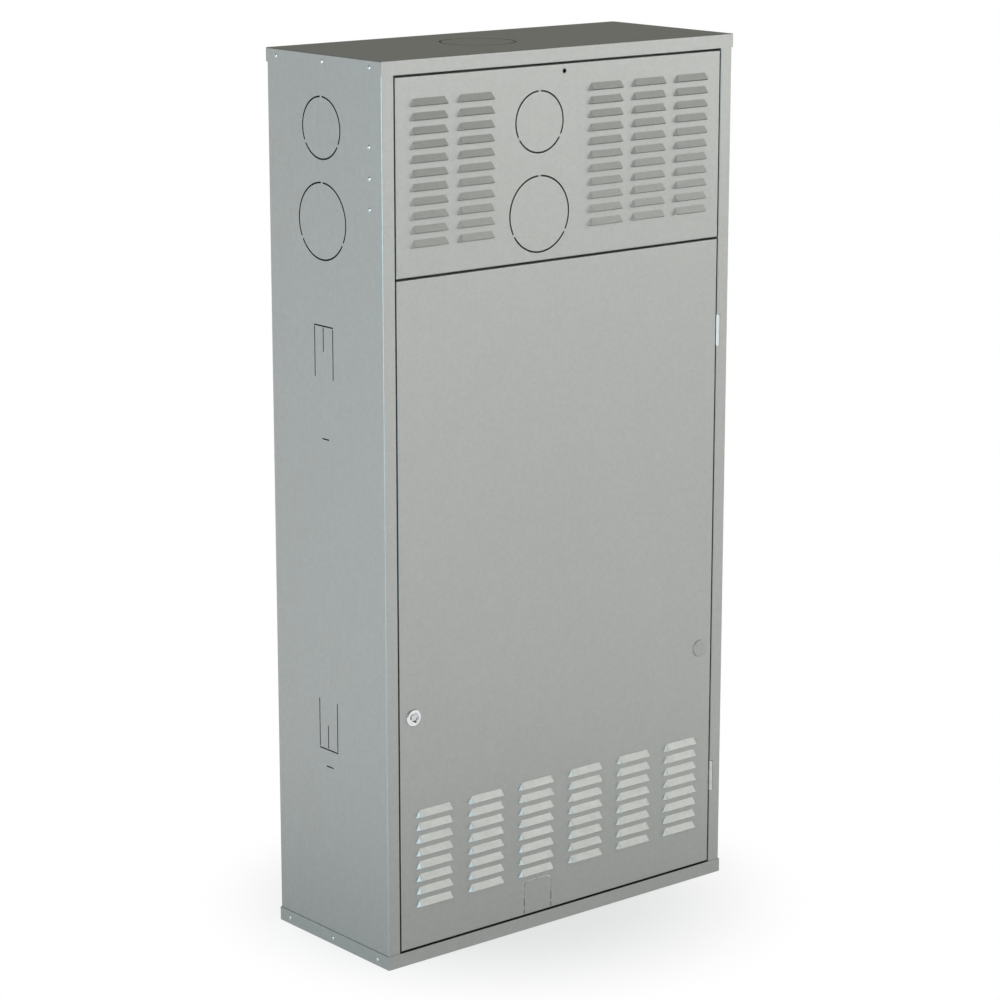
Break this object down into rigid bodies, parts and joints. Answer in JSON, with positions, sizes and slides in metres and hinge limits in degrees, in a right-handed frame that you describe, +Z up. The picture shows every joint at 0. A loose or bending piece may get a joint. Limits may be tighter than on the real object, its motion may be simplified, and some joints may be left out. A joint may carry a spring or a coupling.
{
  "type": "built-in boiler",
  "caption": "Flush wall cabinet of galvanised sheet steel with a louvred lift-off panel and a hinged louvred door, holding a gas boiler.",
  "frame": {"origin": "middle of the cabinet's base", "axes": "+Z up, -Y out through the front, +X to the right seen from the front"},
  "size_m": [0.602, 0.2495, 1.2],
  "materials": {
    "galvanised_sheet": "satin zinc coating",
    "zinc_plated_steel": "bright zinc plating",
    "chrome": "polished",
    "plug_plastic": "satin grey",
    "stainless_steel": "satin",
    "aluminised_steel": "dull",
    "red_lacquer": "semi-gloss",
    "rubber": "matte",
    "fibre_board": "rough",
    "copper": "drawn copper",
    "brass": "cast and turned",
    "cast_aluminium": "die cast",
    "cast_iron": "black lacquer",
    "black_plastic": "fine texture",
    "motor_lacquer": "satin",
    "red_plastic": "satin",
    "yellow_plastic": "satin",
    "grey_plastic": "fine texture",
    "gauge_white": "printed dial",
    "circuit_board": "lacquered"
  },
  "bodies": {
    "cabinet": {"back_panel": "galvanised_sheet", "left_side_panel": "galvanised_sheet", "right_side_panel": "galvanised_sheet", "top_cap": "galvanised_sheet", "bottom_tray": "galvanised_sheet", "top_stop_rail": "galvanised_sheet", "middle_rail": "galvanised_sheet", "panel_brackets": "galvanised_sheet", "cabinet_rivets": "zinc_plated_steel", "hinge_frame_leaves": "zinc_plated_steel", "hinge_pins": "zinc_plated_steel", "boiler_chassis": "galvanised_sheet", "boiler_brackets": "galvanised_sheet", "expansion_vessel": "red_lacquer", "sealed_chamber": "galvanised_sheet", "chamber_gasket": "rubber", "chamber_cover": "galvanised_sheet", "chamber_cover_screws": "zinc_plated_steel", "combustion_chamber": "stainless_steel", "combustion_insulation": "fibre_board", "heat_exchanger": "copper", "fume_hood": "stainless_steel", "fan_housing": "aluminised_steel", "fan_motor": "black_plastic", "flue_collar": "aluminised_steel", "burner": "stainless_steel", "gas_manifold": "brass", "wiring_loom": "black_plastic", "gas_valve": "cast_aluminium", "gas_pipes": "copper", "water_pipes": "copper", "hydraulic_blocks": "brass", "diverter_motor": "black_plastic", "plate_heat_exchanger": "stainless_steel", "pump_housing": "cast_iron", "pump_motor": "motor_lacquer", "connection_rail": "galvanised_sheet", "stop_valves": "brass", "connection_tails": "copper", "control_box": "grey_plastic", "control_board": "circuit_board", "pressure_gauge": "gauge_white"},
    "upper_panel": {"upper_front_panel": "galvanised_sheet"},
    "door": {"door_panel": "galvanised_sheet", "hinge_door_leaves": "zinc_plated_steel", "blind_plug": "plug_plastic", "lock_housing": "chrome", "lock_nut": "zinc_plated_steel"},
    "lock": {"lock_spindle": "zinc_plated_steel", "lock_cam": "zinc_plated_steel", "lock_cam_screw": "zinc_plated_steel"},
    "fan_rotor": {"fan_wheel": "aluminised_steel"},
    "pump_rotor": {"pump_impeller": "black_plastic"},
    "gas_lever": {"gas_valve_lever": "yellow_plastic"},
    "water_lever": {"water_valve_lever": "red_plastic"},
    "heating_control": {"heating_knob": "black_plastic"},
    "water_control": {"water_knob": "black_plastic"},
    "reset": {"reset_button": "red_plastic"},
    "needle": {"gauge_needle": "red_plastic"},
    "relief_cap": {"safety_valve_cap": "red_plastic"}
  },
  "joints": [
    {"name": "upper_panel_lift_off", "type": "slide", "parent": "cabinet", "child": "upper_panel", "axis": [0, -1, 0], "range_m": [0, 0.15]},
    {"name": "door_hinge", "type": "hinge", "parent": "cabinet", "child": "door", "pos_m": [0.2813, -0.1205, 0.471], "axis": [0, 0, 1], "range_deg": [0, 120]},
    {"name": "lock_turn", "type": "hinge", "parent": "door", "child": "lock", "pos_m": [-0.2555, -0.1215, 0.3425], "axis": [0, 1, 0], "range_deg": [0, 90]},
    {"name": "fan_spin", "type": "hinge", "parent": "cabinet", "child": "fan_rotor", "pos_m": [-0.019, -0.032, 0.829], "axis": [0, 1, 0], "continuous": true},
    {"name": "pump_spin", "type": "hinge", "parent": "cabinet", "child": "pump_rotor", "pos_m": [0.15, 0.02, 0.36], "axis": [0, 1, 0], "continuous": true},
    {"name": "gas_valve_turn", "type": "hinge", "parent": "cabinet", "child": "gas_lever", "pos_m": [0, 0.017, 0.1175], "axis": [0, 1, 0], "range_deg": [0, 90]},
    {"name": "water_valve_turn", "type": "hinge", "parent": "cabinet", "child": "water_lever", "pos_m": [0.075, 0.017, 0.1175], "axis": [0, 1, 0], "range_deg": [0, 90]},
    {"name": "heating_knob_turn", "type": "hinge", "parent": "cabinet", "child": "heating_control", "pos_m": [-0.16, -0.088, 0.252], "axis": [0, 1, 0], "range_deg": [-135, 135]},
    {"name": "water_knob_turn", "type": "hinge", "parent": "cabinet", "child": "water_control", "pos_m": [-0.1, -0.088, 0.252], "axis": [0, 1, 0], "range_deg": [-135, 135]},
    {"name": "reset_press", "type": "slide", "parent": "cabinet", "child": "reset", "axis": [0, 1, 0], "range_m": [0, 0.002], "stiffness_N_per_m": 300},
    {"name": "needle_turn", "type": "hinge", "parent": "cabinet", "child": "needle", "pos_m": [0, -0.0866, 0.252], "axis": [0, 1, 0], "range_deg": [0, 270], "stiffness_Nm_per_rad": 0.0005},
    {"name": "relief_cap_turn", "type": "hinge", "parent": "cabinet", "child": "relief_cap", "pos_m": [0.15, -0.0083, 0.24], "axis": [0, 1, 0], "range_deg": [0, 90]}
  ]
}
